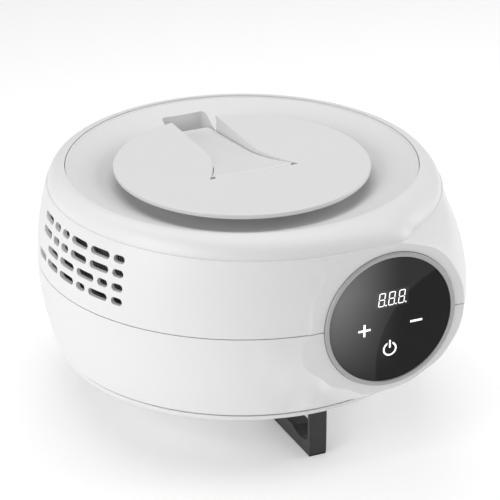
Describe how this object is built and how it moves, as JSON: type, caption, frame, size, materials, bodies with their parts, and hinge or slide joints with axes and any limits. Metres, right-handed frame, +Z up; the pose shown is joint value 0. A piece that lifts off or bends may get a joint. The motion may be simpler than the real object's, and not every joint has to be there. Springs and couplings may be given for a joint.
{
  "type": "filament dryer",
  "caption": "Round drum-shaped filament dryer with a lift-off lid, a turntable for one spool, a heated air supply, a flat round touch panel and fold-out feet.",
  "frame": {"origin": "centre of the flat underside of the base plate; the folded-out feet reach below it", "axes": "+Z up along the drum's axis, -Y towards the side with the control panel, +X to the panel's right"},
  "size_m": [0.2505, 0.2513, 0.1505],
  "materials": {
    "white_plastic": "satin",
    "inner_plastic": "matt",
    "dark_plastic": "fine texture",
    "dust_mesh": "woven",
    "rubber": "matt",
    "seal_rubber": "matt",
    "bezel": "satin silver",
    "black_glass": "polished",
    "light_marks": "lit",
    "circuit_board": "solder mask",
    "components": "moulded",
    "heat_plastic": "matt",
    "heater_metal": "raw",
    "steel": "plated",
    "spacer_plastic": "matt",
    "wire": "insulation"
  },
  "bodies": {
    "housing": {"base_plate": "white_plastic", "lower_shell": "white_plastic", "upper_shell": "white_plastic", "chamber_liner": "inner_plastic", "diffuser_plate": "inner_plastic", "liner_screws": "steel", "centre_post": "steel", "post_clip": "steel", "bearing_inner": "steel", "blower_case": "dark_plastic", "blower_motor": "steel", "blower_screws": "steel", "heater_frame": "heat_plastic", "heater_block": "heater_metal", "thermal_fuse": "steel", "temperature_sensor": "steel", "humidity_sensor": "components", "dust_screen": "dust_mesh", "power_board": "circuit_board", "power_parts": "components", "power_inlet": "dark_plastic", "board_screws": "steel", "harness": "wire", "bezel_ring": "bezel", "panel_glass": "black_glass", "panel_marks": "light_marks", "display_module": "components", "touch_contacts": "spacer_plastic", "touch_board": "circuit_board", "board_spacers": "spacer_plastic", "control_board": "circuit_board", "control_parts": "components", "panel_screws": "steel", "shell_screws": "steel", "base_screws": "steel", "foot_pins": "steel", "outlet_bush": "dark_plastic"},
    "turntable_body": {"turntable": "inner_plastic", "spool_hub": "inner_plastic", "hub_screws": "steel", "bearing_outer": "steel", "bearing_balls": "steel"},
    "blower_rotor": {"blower_wheel": "dark_plastic"},
    "lid": {"lid_dish": "white_plastic", "lid_knob": "white_plastic", "lid_liner": "inner_plastic", "lid_seal": "seal_rubber", "lid_screws": "steel", "knob_screws": "steel", "tab_pin": "steel"},
    "tab": {"lift_tab": "white_plastic"},
    "front_foot": {"foot_front": "dark_plastic", "foot_pad_front": "rubber"},
    "right_foot": {"foot_right": "dark_plastic", "foot_pad_right": "rubber"},
    "left_foot": {"foot_left": "dark_plastic", "foot_pad_left": "rubber"}
  },
  "joints": [
    {"name": "foot_front_fold", "type": "hinge", "parent": "housing", "child": "front_foot", "pos_m": [0.0046, -0.076, 0.0038], "axis": [0, 1, 0], "range_deg": [0, 90]},
    {"name": "foot_right_fold", "type": "hinge", "parent": "housing", "child": "right_foot", "pos_m": [0.05049, 0.05699, 0.0038], "axis": [-0.7071, -0.7071, 0], "range_deg": [0, 90]},
    {"name": "foot_left_fold", "type": "hinge", "parent": "housing", "child": "left_foot", "pos_m": [-0.05699, 0.05049, 0.0038], "axis": [0.7071, -0.7071, 0], "range_deg": [0, 90]},
    {"name": "lid_lift", "type": "slide", "parent": "housing", "child": "lid", "axis": [0, 0, 1], "range_m": [0, 0.2]},
    {"name": "tab_hinge", "type": "hinge", "parent": "lid", "child": "tab", "pos_m": [0.001, -0.0136, 0.1118], "axis": [1, 0, 0], "range_deg": [0, 100]},
    {"name": "turntable_spin", "type": "hinge", "parent": "housing", "child": "turntable_body", "pos_m": [0, 0, 0.0279], "axis": [0, 0, 1], "continuous": true},
    {"name": "blower_spin", "type": "hinge", "parent": "housing", "child": "blower_rotor", "pos_m": [-0.061, -0.017, 0.01], "axis": [0, 0, 1], "continuous": true}
  ]
}
